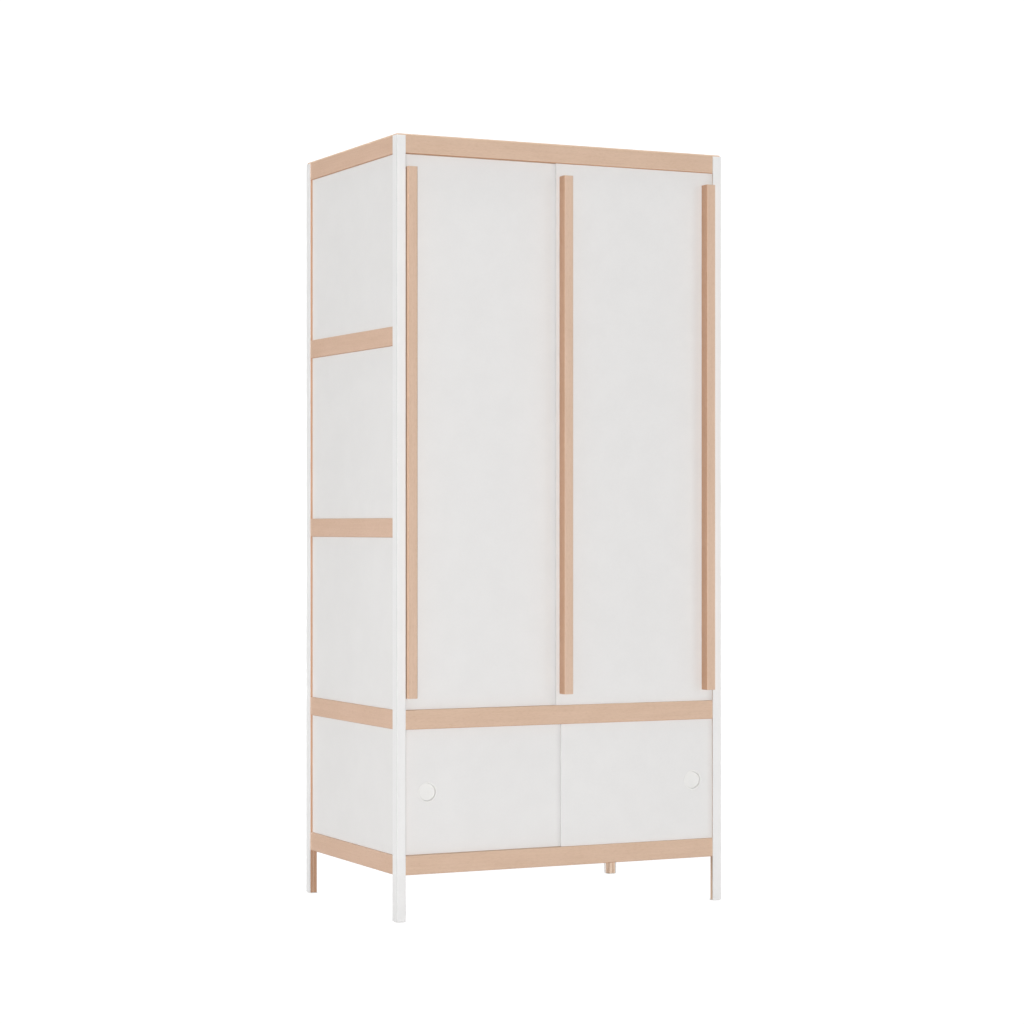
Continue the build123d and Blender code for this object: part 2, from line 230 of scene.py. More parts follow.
class Stock:
    """A length of stock: a flat section that is notched and eased, then run out to its length."""

    def __init__(self, box: Box, run: Axis) -> None:
        """Lays out the section.

        Args:
            box: the box that the finished piece fills.
            run: the axis that the piece is long in, across its section.
        """
        self.box = box
        self.run = run
        self.flat = (run.after(1), run.after(2))
        self.mesh = bmesh.new()
        bmesh.ops.create_grid(self.mesh, x_segments=1, y_segments=1, size=0.5)
        first, second = (axis.value for axis in self.flat)
        verts = self.mesh.verts[:]
        bmesh.ops.scale(self.mesh, vec=(box.size[first], box.size[second], 1), verts=verts)
        start = Vector((box.middle[first], box.middle[second], box.low[run.value]))
        bmesh.ops.translate(self.mesh, vec=start, verts=verts)

    def notch(self, **spans: Span) -> "Stock":
        """Cuts a rectangle out of the section.

        Args:
            spans: the rectangle's two limits along each of the section's two axes.

        Returns:
            The stock itself, so that cuts can be chained.
        """
        limits = [sorted(spans[axis.word]) for axis in self.flat]
        for way, span in enumerate(limits):
            for place in span:
                bmesh.ops.bisect_plane(
                    self.mesh,
                    geom=[*self.mesh.verts, *self.mesh.edges, *self.mesh.faces],
                    dist=CUT_SLACK,
                    plane_co=Axis(way).unit * place,
                    plane_no=Axis(way).unit,
                )
        waste = []
        for face in self.mesh.faces:
            middle = face.calc_center_median()
            if all(low < middle[way] < high for way, (low, high) in enumerate(limits)):
                waste.append(face)
        bmesh.ops.delete(self.mesh, geom=waste, context="FACES")
        return self

    def ease(self, radius: float, segments: int = 4, **places: float) -> "Stock":
        """Rounds the corners of the section that lie at some place.

        Args:
            radius: the rounding's radius.
            segments: how many steps the rounding has.
            places: the coordinates that a corner must have to be rounded.

        Returns:
            The stock itself.
        """
        self._join_cells()
        wanted = [
            (way, places[axis.word]) for way, axis in enumerate(self.flat) if axis.word in places
        ]
        corners = [
            vert
            for vert in self.mesh.verts
            if all(abs(vert.co[way] - place) < SAME_PLACE for way, place in wanted)
        ]
        bmesh.ops.bevel(
            self.mesh,
            geom=corners,
            offset=radius,
            segments=segments,
            affect="VERTICES",
            profile=0.5,
            material=-1,
        )
        return self

    def _join_cells(self) -> None:
        """Makes one face of the cells that the cuts have left."""
        bmesh.ops.dissolve_limit(
            self.mesh,
            angle_limit=FLAT_ANGLE,
            use_dissolve_boundaries=False,
            verts=self.mesh.verts[:],
            edges=self.mesh.edges[:],
        )

    def run_out(self, edge_ease: float = 0.3 * MM, segments: int = 2) -> Mesh:
        """Runs the section out to the piece's length and takes the sharpness off its edges.

        Args:
            edge_ease: how far the bevel along sharp edges reaches.
            segments: how many steps that bevel has.

        Returns:
            The finished mesh.
        """
        self._join_cells()
        push_out(self.mesh, self.mesh.faces[:], (0, 0, self.box.size[self.run.value]))
        turn = Matrix.Diagonal((0, 0, 0, 1))
        for column, axis in enumerate((*self.flat, self.run)):
            turn[axis.value][column] = 1
        bmesh.ops.transform(self.mesh, matrix=turn, verts=self.mesh.verts[:])
        bmesh.ops.recalc_face_normals(self.mesh, faces=self.mesh.faces[:])
        soften(self.mesh, edge_ease, segments)
        return self.mesh


def turned(points: Iterable[Span], centre: Vector, axis: Axis, steps: int) -> Mesh:
    """Turns an outline round an axis into a closed solid.

    Args:
        points: the outline as (radius, place along the axis); a ring if none is on the axis.
        centre: a point on the axis, whose place along the axis is zero.
        axis: the direction of the axis.
        steps: how many steps the turn has.

    Returns:
        The solid, with its faces pointing outwards.
    """
    mesh = bmesh.new()
    across = axis.after(1).unit
    verts = [
        mesh.verts.new(centre + across * radius + axis.unit * place) for radius, place in points
    ]
    for near, far in zip(verts, verts[1:]):
        mesh.edges.new((near, far))
    if (verts[0].co - centre).cross(axis.unit).length > SAME_PLACE:
        mesh.edges.new((verts[-1], verts[0]))
    bmesh.ops.spin(
        mesh,
        geom=[*mesh.verts, *mesh.edges],
        cent=centre,
        axis=axis.unit,
        angle=math.tau,
        steps=steps,
        use_merge=True,
    )
    bmesh.ops.remove_doubles(mesh, verts=mesh.verts[:], dist=SAME_PLACE)
    bmesh.ops.recalc_face_normals(mesh, faces=mesh.faces[:])
    return mesh


def add_to(whole: Mesh, part: Mesh) -> None:
    """Adds one mesh to another, and frees it."""
    carried = bpy.data.meshes.new("carried")
    part.to_mesh(carried)
    part.free()
    whole.from_mesh(carried)
    bpy.data.meshes.remove(carried)


@dataclass(frozen=True)
class Hole:
    """A round hole through a sheet, in the sheet's own plane."""

    x: float
    z: float
    radius: float
    segments: int


def drilled_sheet(box: Box, holes: Iterable[Hole], edge_ease: float) -> Mesh:
    """A thin upright sheet across Y, with round holes through it.

    Args:
        box: the box that the sheet fills.
        holes: the holes through it.
        edge_ease: how far the bevel along its edges reaches.

    Returns:
        The finished mesh.
    """
    mesh = bmesh.new()
    flat = Matrix.Rotation(math.radians(90), 4, "X")
    for hole in holes:
        bmesh.ops.create_circle(
            mesh,
            cap_ends=False,
            segments=hole.segments,
            radius=hole.radius,
            matrix=Matrix.Translation((hole.x, box.low.y, hole.z)) @ flat,
        )
    middle = Matrix.Translation((box.middle.x, box.low.y, box.middle.z))
    stretch = Matrix.Diagonal((box.size.x, box.size.z, 1, 1))
    rim = bmesh.ops.create_grid(
        mesh, x_segments=1, y_segments=1, size=0.5, matrix=middle @ flat @ stretch
    )
    bmesh.ops.delete(mesh, geom=rim["verts"][0].link_faces[:], context="FACES_ONLY")
    bmesh.ops.triangle_fill(
        mesh, edges=mesh.edges[:], use_beauty=True, use_dissolve=False, normal=(0, -1, 0)
    )
    push_out(mesh, mesh.faces[:], (0, box.size.y, 0))
    bmesh.ops.recalc_face_normals(mesh, faces=mesh.faces[:])
    soften(mesh, edge_ease)
    return mesh


# ---------------------------------------------------------------------------------------------
# Finishes
# ---------------------------------------------------------------------------------------------


class Wiring:
    """Adds nodes to one node tree and links them."""

    def __init__(self, tree: bpy.types.NodeTree) -> None:
        """Starts with an empty tree."""
        self.tree = tree
        tree.nodes.clear()

    def add(
        self, kind: str, inputs: dict[str | int, object] | None = None, **settings: object
    ) -> Node:
        """Adds a node.

        Args:
            kind: the node's type, without its ShaderNode prefix where it has one.
            inputs: for each named or numbered socket, a value or the output that feeds it.
            settings: the node's own settings.

        Returns:
            The new node.
        """
        node = self.tree.nodes.new(kind if kind.startswith("Node") else f"ShaderNode{kind}")
        for name, value in settings.items():
            setattr(node, name, value)
        for name, value in (inputs or {}).items():
            if isinstance(value, Socket):
                self.tree.links.new(value, node.inputs[name])
            else:
                node.inputs[name].default_value = value
        return node

    def noise(self, place: Socket, cells: Vector, detail: float) -> Socket:
        """Adds a noise whose cells are sized along each axis.

        Args:
            place: the coordinates that the noise reads.
            cells: how many cells there are in a metre along each axis.
            detail: how many finer layers the noise has.

        Returns:
            The noise's value, about 0.5 in the mean.
        """
        scaled = self.add("VectorMath", {0: place, 1: cells}, operation="MULTIPLY")
        inputs = {"Vector": scaled.outputs[0], "Scale": 1.0, "Detail": detail, "Roughness": 0.55}
        return self.add("TexNoise", inputs).outputs["Fac"]

    def ranged(self, value: Socket, source: Span, target: Span) -> Socket:
        """Maps a value from one span to another, smoothly and clamped."""
        limits = dict(zip(("From Min", "From Max", "To Min", "To Max"), (*source, *target)))
        inputs = {"Value": value, **limits}
        return self.add("MapRange", inputs, interpolation_type="SMOOTHSTEP").outputs["Result"]

    def maths(self, operation: str, first: object, second: object) -> Socket:
        """Combines two values with one operation."""
        return self.add("Math", {0: first, 1: second}, operation=operation).outputs[0]


class Effect:
    """A node group that several finishes share. A subclass names it and wires it."""

    name: str
    sockets_in: tuple[tuple[str, str, object], ...]
    sockets_out = (("Color", "Color"), ("Roughness", "Float"), ("Height", "Float"))

    @classmethod
    def group(cls) -> bpy.types.NodeTree:
        """The node group, made on its first use."""
        return bpy.data.node_groups.get(cls.name) or cls._make()

    @classmethod
    def _make(cls) -> bpy.types.NodeTree:
        """Makes the group with its sockets, and has the subclass wire it."""
        tree = bpy.data.node_groups.new(cls.name, "ShaderNodeTree")
        for name, kind, default in cls.sockets_in:
            kind = f"NodeSocket{kind}"
            socket = tree.interface.new_socket(name, in_out="INPUT", socket_type=kind)
            if default is not None:
                socket.default_value = default
        for name, kind in cls.sockets_out:
            tree.interface.new_socket(name, in_out="OUTPUT", socket_type=f"NodeSocket{kind}")
        wiring = Wiring(tree)
        entry = wiring.add("NodeGroupInput")
        wiring.add("NodeGroupOutput", cls.wire(wiring, entry.outputs))
        return tree

    @classmethod
    def wire(cls, wiring: Wiring, entry: bpy.types.NodeOutputs) -> dict[str, Socket]:
        """Wires the group's inside.

        Args:
            wiring: the group's nodes.
            entry: the group's inputs.

        Returns:
            For each output of the group, the socket that feeds it.
        """
        raise NotImplementedError


class BeechFigure(Effect):
    """The figure of beech: ray flecks, drawn-out growth lines, slow clouds of tone, and pores.

    Its Vector has X along the grain. Cells are counted to the metre.
    """

    name = "beech_figure"
    sockets_in = (
        ("Vector", "Vector", None),
        ("Tone", "Color", (0.64, 0.45, 0.33, 1.0)),
        ("Fleck", "Float", 1.0),
        ("Cloud", "Float", 1.0),
    )
    fleck_cells = Vector((85, 330, 330))
    line_cells = Vector((5, 260, 260))
    cloud_cells = Vector((7, 26, 26))
    pore_cells = Vector((420, 2600, 2600))
    pale_flecks = 0.022
    dark_flecks = 0.042
    clouds = 0.018
    lines = 0.016
    pores = 0.05
    deep_tone = {"Saturation": 1.22, "Value": 0.72}
    pale_tone = {"Saturation": 0.86, "Value": 1.16}
    tone_span = {"From Min": -0.28, "From Max": 0.16}

    @classmethod
    def wire(cls, wiring: Wiring, entry: bpy.types.NodeOutputs) -> dict[str, Socket]:
        """Wires the figure. The arguments and the result are those of the base class."""
        place = entry["Vector"]
        flecks = wiring.noise(place, cls.fleck_cells, detail=1.5)
        lines = wiring.noise(place, cls.line_cells, detail=3.0)
        clouds = wiring.noise(place, cls.cloud_cells, detail=2.0)
        pores = wiring.noise(place, cls.pore_cells, detail=1.0)
        dark_fleck = wiring.ranged(flecks, (0.50, 0.72), (0.0, 1.0))
        light_fleck = wiring.ranged(flecks, (0.50, 0.28), (0.0, 1.0))
        paler = wiring.maths("MULTIPLY", light_fleck, cls.pale_flecks)
        darker = wiring.maths("MULTIPLY", dark_fleck, cls.dark_flecks)
        fleck = wiring.maths("SUBTRACT", paler, darker)
        fleck = wiring.maths("MULTIPLY", fleck, entry["Fleck"])
        cloud = wiring.ranged(clouds, NOISE_SPREAD, (-cls.clouds, cls.clouds))
        cloud = wiring.maths("MULTIPLY", cloud, entry["Cloud"])
        line = wiring.ranged(lines, NOISE_SPREAD, (-cls.lines, cls.lines))
        pore = wiring.ranged(pores, (0.62, 0.75), (0.0, -cls.pores))
        broad = wiring.maths("ADD", fleck, cloud)
        fine = wiring.maths("ADD", line, pore)
        shade = wiring.maths("ADD", broad, fine)
        deep, pale = (
            wiring.add("HueSaturation", {"Color": entry["Tone"], **change}).outputs[0]
            for change in (cls.deep_tone, cls.pale_tone)
        )
        level = wiring.add("MapRange", {"Value": shade, **cls.tone_span}).outputs["Result"]
        blend = wiring.add("Mix", {"Factor": level, 6: deep, 7: pale}, data_type="RGBA")
        ridges = wiring.maths("MULTIPLY", lines, 0.35)
        pits = wiring.maths("MULTIPLY", pore, 4.0)
        return {
            "Color": blend.outputs[2],
            "Roughness": wiring.ranged(shade, (-0.12, 0.1), (0.56, 0.46)),
            "Height": wiring.maths("ADD", ridges, pits),
        }


class FineTexture(Effect):
    """The fine unevenness of a coated, moulded or drawn surface, and a slow mottling of its tone.

    Cells are counted to the metre.
    """

    name = "fine_texture"
    sockets_in = (
        ("Vector", "Vector", None),
        ("Tone", "Color", (0.8, 0.8, 0.8, 1.0)),
        ("Grain", "Float", 900.0),
        ("Mottle", "Float", 0.012),
        ("Roughness", "Float", 0.5),
    )
    slow_cells = Vector((14, 14, 14))
    small_cells = Vector((160, 160, 160))
    slow_share = 0.7
    small_share = 0.3
    gloss_swing = 0.03

    @classmethod
    def wire(cls, wiring: Wiring, entry: bpy.types.NodeOutputs) -> dict[str, Socket]:
        """Wires the texture. The arguments and the result are those of the base class."""
        place = entry["Vector"]
        inputs = {"Vector": place, "Scale": entry["Grain"], "Detail": 1.0, "Roughness": 0.5}
        fine = wiring.add("TexNoise", inputs)
        slow = wiring.noise(place, cls.slow_cells, detail=3.0)
        small = wiring.noise(place, cls.small_cells, detail=1.0)
        slow = wiring.maths("MULTIPLY", slow, cls.slow_share)
        small = wiring.maths("MULTIPLY", small, cls.small_share)
        both = wiring.maths("ADD", slow, small)
        swing = wiring.ranged(both, NOISE_SPREAD, (-1.0, 1.0))
        swing = wiring.maths("MULTIPLY", swing, entry["Mottle"])
        value = wiring.maths("ADD", 1.0, swing)
        tone = wiring.add("VectorMath", {0: entry["Tone"]}, operation="SCALE")
        wiring.tree.links.new(value, tone.inputs["Scale"])
        gloss = wiring.ranged(both, NOISE_SPREAD, (-cls.gloss_swing, cls.gloss_swing))
        return {
            "Color": tone.outputs[0],
            "Roughness": wiring.maths("ADD", entry["Roughness"], gloss),
            "Height": fine.outputs["Fac"],
        }


@dataclass(frozen=True)
class Finish:
    """What every finish has: a name, a colour in linear light, the record's slot, and its gloss."""

    name: str
    colour: Colour
    slot: str = ""
    specular: float = 0.4
    relief: float = 0.08
    relief_depth: float = 0.1 * MM

    def material(self) -> bpy.types.Material:
        """The finish as a material, made on its first use."""
        return bpy.data.materials.get(self.name) or self._make()

    def _make(self) -> bpy.types.Material:
        """Makes the material round one Principled shader."""
        material = bpy.data.materials.new(self.name)
        material.use_nodes = True
        wiring = Wiring(material.node_tree)
        shader = wiring.add("BsdfPrincipled", {"Specular IOR Level": self.specular})
        place = wiring.add("TexCoord").outputs["Object"]
        self.dress(wiring, shader, place)
        wiring.add("OutputMaterial", {"Surface": shader.outputs["BSDF"]})
        material.diffuse_color = (*self.colour, 1.0)
        return material

    def dress(self, wiring: Wiring, shader: Node, place: Socket) -> None:
        """Feeds the shader.

        Args:
            wiring: the material's nodes.
            shader: the Principled shader.
            place: the Object coordinates.
        """
        raise NotImplementedError

    def feed(
        self, wiring: Wiring, shader: Node, effect: type[Effect], inputs: dict[str, object]
    ) -> None:
        """Places a shared effect in the finish's colour and feeds what it gives to the shader.

        Args:
            wiring: the material's nodes.
            shader: the Principled shader.
            effect: the shared effect.
            inputs: the effect's other inputs.
        """
        inputs = {"Tone": (*self.colour, 1.0), **inputs}
        given = wiring.add("Group", inputs, node_tree=effect.group()).outputs
        wiring.tree.links.new(given["Color"], shader.inputs["Base Color"])
        wiring.tree.links.new(given["Roughness"], shader.inputs["Roughness"])
        inputs = {
            "Strength": self.relief,
            "Distance": self.relief_depth,
            "Height": given["Height"],
        }
        bump = wiring.add("Bump", inputs)
        wiring.tree.links.new(bump.outputs["Normal"], shader.inputs["Normal"])


@dataclass(frozen=True)
class Beech(Finish):
    """Oiled beech, with its grain along one axis."""

    slot: str = "oiled_beech"
    relief: float = 0.12
    relief_depth: float = 0.2 * MM
    grain: Axis = Axis.Z
    fleck: float = 1.0
    cloud: float = 1.0

    def dress(self, wiring: Wiring, shader: Node, place: Socket) -> None:
        """Turns the figure to the grain and feeds it. The arguments are those of the base class."""
        turns = {
            Axis.X: (0.0, 0.0, 0.0),
            Axis.Y: (0.0, 0.0, math.radians(-90)),
            Axis.Z: (0.0, math.radians(90), 0.0),
        }
        mapped = wiring.add("Mapping", {"Vector": place, "Rotation": turns[self.grain]})
        inputs = {"Vector": mapped.outputs[0], "Fleck": self.fleck, "Cloud": self.cloud}
        self.feed(wiring, shader, BeechFigure, inputs)


@dataclass(frozen=True)
class Coated(Finish):
    """A surface with a fine texture: powder coat, laminate, lacquer or moulded plastic."""

    roughness: float = 0.5
    grain: float = 900.0
    mottle: float = 0.012

    def dress(self, wiring: Wiring, shader: Node, place: Socket) -> None:
        """Feeds the fine texture to the shader. The arguments are those of the base class."""
        inputs = {
            "Vector": place,
            "Grain": self.grain,
            "Mottle": self.mottle,
            "Roughness": self.roughness,
        }
        self.feed(wiring, shader, FineTexture, inputs)


@dataclass(frozen=True)
class Metal(Coated):
    """Bare or plated steel, brushed along one axis."""

    relief: float = 0.05
    relief_depth: float = 0.05 * MM
    grain: float = 1400.0
    mottle: float = 0.03
    brushed: Axis = Axis.X
    drawn_out: float = 0.04

    def dress(self, wiring: Wiring, shader: Node, place: Socket) -> None:
        """Draws the texture out along the brushing. The arguments are those of the base class."""
        scale = [1.0, 1.0, 1.0]
        scale[self.brushed.value] = self.drawn_out
        mapped = wiring.add("Mapping", {"Vector": place, "Scale": scale})
        shader.inputs["Metallic"].default_value = 1.0
        super().dress(wiring, shader, mapped.outputs[0])


BEECH_TONE: Colour = (0.655, 0.455, 0.327)
PROFILE_SLOT = "powder_coated_profile"


@dataclass(frozen=True)
class Finishes:
    """Every finish of the wardrobe."""

    rail_across: Finish = Beech("beech_rail_across", BEECH_TONE, grain=Axis.X)
    # Painted shade: a darker, browner beech for the rails' undersides.
    rail_across_edge: Finish = Beech("beech_rail_across_edge", (0.56, 0.275, 0.14), grain=Axis.X)
    # A little darker and more saturated than BEECH_TONE: painted shade against the side lamps' light.
    rail_deep: Finish = Beech("beech_rail_deep", (0.66, 0.443, 0.316), grain=Axis.Y)
    # Painted shade: the same darker brown for the side rails' undersides.
    rail_deep_edge: Finish = Beech("beech_rail_deep_edge", (0.50, 0.27, 0.155), grain=Axis.Y)
    post: Finish = Beech("beech_post", BEECH_TONE)
    # Painted shade: darker beech for the rear left post's front face.
    post_edge: Finish = Beech("beech_post_edge", (0.52, 0.292, 0.178), cloud=0.6)
    # Painted light: paler beech for the posts' grooves and the rear right post's front face.
    post_pale: Finish = Beech("beech_post_pale", (0.82, 0.62, 0.47))
    bar: Finish = Beech("beech_bar", (0.665, 0.463, 0.337))
    # Painted shade: darker beech for the bars' roundings and sides.
    bar_edge: Finish = Beech("beech_bar_edge", (0.53, 0.302, 0.182), cloud=0.6)
    # Painted light: paler beech for the flat sides of the left bar.
    bar_shade: Finish = Beech("beech_bar_shade", (0.74, 0.51, 0.36), cloud=0.6)
    top_board: Finish = Beech("beech_top_board", BEECH_TONE, grain=Axis.X)
    # Painted highlight: paler beech for the top board's edges.
    top_board_edge: Finish = Beech("beech_top_board_edge", (0.76, 0.55, 0.40), grain=Axis.X)
    dowel: Finish = Beech("beech_dowel", BEECH_TONE, "dowel_wood", grain=Axis.Y)
    profile: Finish = Coated(
        "white_powder_coat", (0.82, 0.815, 0.81), PROFILE_SLOT, roughness=0.45
    )
    # Painted shade: a greyer white for the profiles' rounded edges.
    fold: Finish = Coated(
        "white_powder_coat_fold", (0.61, 0.605, 0.60), PROFILE_SLOT, roughness=0.45
    )
    panel: Finish = Coated("white_panel_laminate", (0.78, 0.77, 0.76), "white_panel", grain=600.0)
    leaf: Finish = Coated(
        "white_leaf_laminate", (0.78, 0.772, 0.765), "white_door_leaf", grain=600.0
    )
    plastic: Finish = Coated(
        "white_moulded_plastic",
        (0.82, 0.815, 0.80),
        "white_plastic",
        roughness=0.38,
        grain=1600.0,
    )
    # Painted shade: a greyer white for the pull's walls and the steep faces of its rim.
    plastic_wall: Finish = Coated(
        "white_moulded_plastic_wall",
        (0.68, 0.665, 0.655),
        "white_plastic",
        roughness=0.38,
        grain=1600.0,
    )
    glide: Finish = Coated(
        "pale_glide_plastic", (0.70, 0.69, 0.67), "glide_plastic", roughness=0.55
    )
    runner: Finish = Coated(
        "slick_runner_plastic", (0.74, 0.73, 0.71), "runner_plastic", roughness=0.3
    )
    steel: Finish = Metal("satin_steel", (0.62, 0.62, 0.61), "satin_steel", roughness=0.28)
    zinc: Finish = Metal(
        "zinc_plated", (0.66, 0.66, 0.64), "zinc_screw", roughness=0.34, brushed=Axis.Z
    )


# ---------------------------------------------------------------------------------------------
# The wardrobe's sub-assemblies
# ---------------------------------------------------------------------------------------------


class Workshop:
    """Turns meshes into pieces of the model, each in the place of one node."""

    def __init__(self, frame: dict) -> None:
        """Keeps the loaded frame, the finishes and the box that the four corners span."""
        self.nodes: dict[str, bpy.types.Object] = frame["nodes"]
        self.finishes = Finishes()
        self.outside = Box(
            Box.of("corner_profile_front_left").low, Box.of("corner_profile_rear_right").high
        )

    def inset(self, way: Way, depth: float) -> float:
        """The place that lies `depth` in from the outer face on a side or at an end."""
        return self.outside.outer(way) - way.value * depth

    def deliver(self, mesh: Mesh, node: str, *finishes: Finish) -> bpy.types.Object:
        """Makes a piece that stands for a node and moves with the node's body.

        Args:
            mesh: the finished mesh, which is freed.
            node: the node that the piece stands for.
            finishes: the finishes that the faces' material numbers count through.

        Returns:
            The piece.
        """
        data = bpy.data.meshes.new(f"{node}_finished")
        mesh.to_mesh(data)
        mesh.free()
        piece = bpy.data.objects.new(f"{node}_finished", data)
        bpy.context.scene.collection.objects.link(piece)
        for finish in finishes:
            data.materials.append(finish.material())
        data.shade_smooth()
        weighted = piece.modifiers.new("even_shading", "WEIGHTED_NORMAL")
        weighted.keep_sharp = True
        weighted.weight = 100
        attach(piece, self.nodes[node]["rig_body"])
        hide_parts(node)
        LOG.info("%s: %d faces, %s", piece.name, len(data.polygons), finishes[0].name)
        return piece

    def dress_node(self, node: str, finish: Finish) -> None:
        """Gives a node of the model that stays as it is a finish."""
        for place in self.nodes[node].material_slots:
            place.link = "OBJECT"
            place.material = finish.material()
        LOG.info("%s: kept, %s", node, finish.name)


@dataclass
class Groove:
    """The groove that a thin panel sits in, measured from a rail's or post's outer side."""

    centre: float = 10.5 * MM
    width: float = 3.4 * MM
    depth: float = 8.0 * MM

    def walls(self, shop: Workshop, way: Way) -> Span:
        """Where the groove's two walls are, on a side or at an end of the wardrobe."""
        half = self.width / 2
        return shop.inset(way, self.centre - half), shop.inset(way, self.centre + half)


@dataclass
class CornerFrame:
    """The four upright corners: a metal angle, a post inside it, and a glide under it."""

    shop: Workshop
    thickness: float = 3.0 * MM
    outer_radius: float = 3.0 * MM
    tip_radius: float = 0.6 * MM
    fold_slant: float = 0.2
    fold_area: float = 1e-4
    groove: Groove = field(default_factory=Groove)
    groove_slack: float = 0.1 * MM
    front_slant: float = 0.7
    front_depth: float = 1.0 * MM
    glide_radius: float = 4.0 * MM
    glide_size: float = 23.0 * MM
    glide_ease: float = 0.4 * MM

    def build(self) -> None:
        """Makes the sub-assembly."""
        for end in End:
            for side in Side:
                self._profile(end, side)
                self._post(end, side)
        self._glides()

    def _profile(self, end: End, side: Side) -> None:
        """Makes one angle profile, whose outer edge is rounded and painted greyer as shade."""
        node = f"corner_profile_{end.word}_{side.word}"
        box = Box.of(node)
        inset, size = self.shop.inset, box.size.x
        stock = Stock(box, Axis.Z).notch(
            x=(inset(side, self.thickness), inset(side, size)),
            y=(inset(end, self.thickness), inset(end, size)),
        )
        stock.ease(self.tip_radius, 3, x=inset(side, size))
        stock.ease(self.tip_radius, 3, y=inset(end, size))
        stock.ease(self.outer_radius, 6, x=inset(side, 0), y=inset(end, 0))
        mesh = stock.run_out()
        # Painted shade: the larger slanted faces, the rounded outer edge above all, get greyer.
        for face in mesh.faces:
            slanting = min(abs(face.normal.x), abs(face.normal.y)) > self.fold_slant
            face.material_index = int(slanting and face.calc_area() > self.fold_area)
        self.shop.deliver(mesh, node, self.shop.finishes.profile, self.shop.finishes.fold)

    def _post(self, end: End, side: Side) -> None:
        """Makes one post, grooved for the panels that reach it, with painted shade and light."""
        node = f"post_{end.word}_{side.word}"
        box = Box.of(node)
        inner_x, inner_y = box.inner(side), box.inner(end)
        in_side, in_back = (self.groove.walls(self.shop, way) for way in (side, end))
        stock = Stock(box, Axis.Z)
        stock.notch(x=in_side, y=(inner_y, inner_y + end.value * self.groove.depth))
        grooves = [(Axis.X, in_side, Axis.Y, inner_y)]
        if end is End.REAR:
            stock.notch(x=(inner_x, inner_x + side.value * self.groove.depth), y=in_back)
            grooves.append((Axis.Y, in_back, Axis.X, inner_x))
        mesh = stock.run_out()
        # Painted light in the grooves, and painted shade or light on a rear post's front face.
        front = box.low.y + self.front_depth
        for face in mesh.faces:
            place = face.calc_center_median()
            if any(self._in_groove(place, *groove) for groove in grooves):
                face.material_index = 2
            elif end is End.REAR and face.normal.y < -self.front_slant and place.y < front:
                face.material_index = 1
        finishes = self.shop.finishes
        # The rear left post's front face gets painted shade, the rear right's painted light.
        front_painted_tone = finishes.post_edge if side is Side.LEFT else finishes.post_pale
        self.shop.deliver(mesh, node, finishes.post, front_painted_tone, finishes.post_pale)

    def _in_groove(
        self, place: Vector, wide: Axis, walls: Span, deep: Axis, mouth: float
    ) -> bool:
        """Whether a point lies in a groove.

        Args:
            place: the point.
            wide: the axis that the groove is wide in.
            walls: the two walls along that axis.
            deep: the axis that the groove is deep in.
            mouth: where it opens along that axis.

        Returns:
            True for a point on the groove's walls or floor.
        """
        slack = self.groove_slack
        between = min(walls) - slack < place[wide.value] < max(walls) + slack
        return between and slack < abs(place[deep.value] - mouth) < self.groove.depth + slack

    def _glides(self) -> None:
        """Makes the four thin glides under the corners."""
        whole = Box.of("floor_glides")
        inset = (Box.of("corner_profile_front_left").size.x - self.glide_size) / 2
        places = (inset, inset + self.glide_size)
        pads = bmesh.new()
        for end in End:
            for side in Side:
                xs, ys = ([self.shop.inset(way, place) for place in places] for way in (side, end))
                pad = Stock(whole.spanning(x=xs, y=ys), Axis.Z)
                add_to(pads, pad.ease(self.glide_radius, 6).run_out(self.glide_ease))
        self.shop.deliver(pads, "floor_glides", self.shop.finishes.glide)


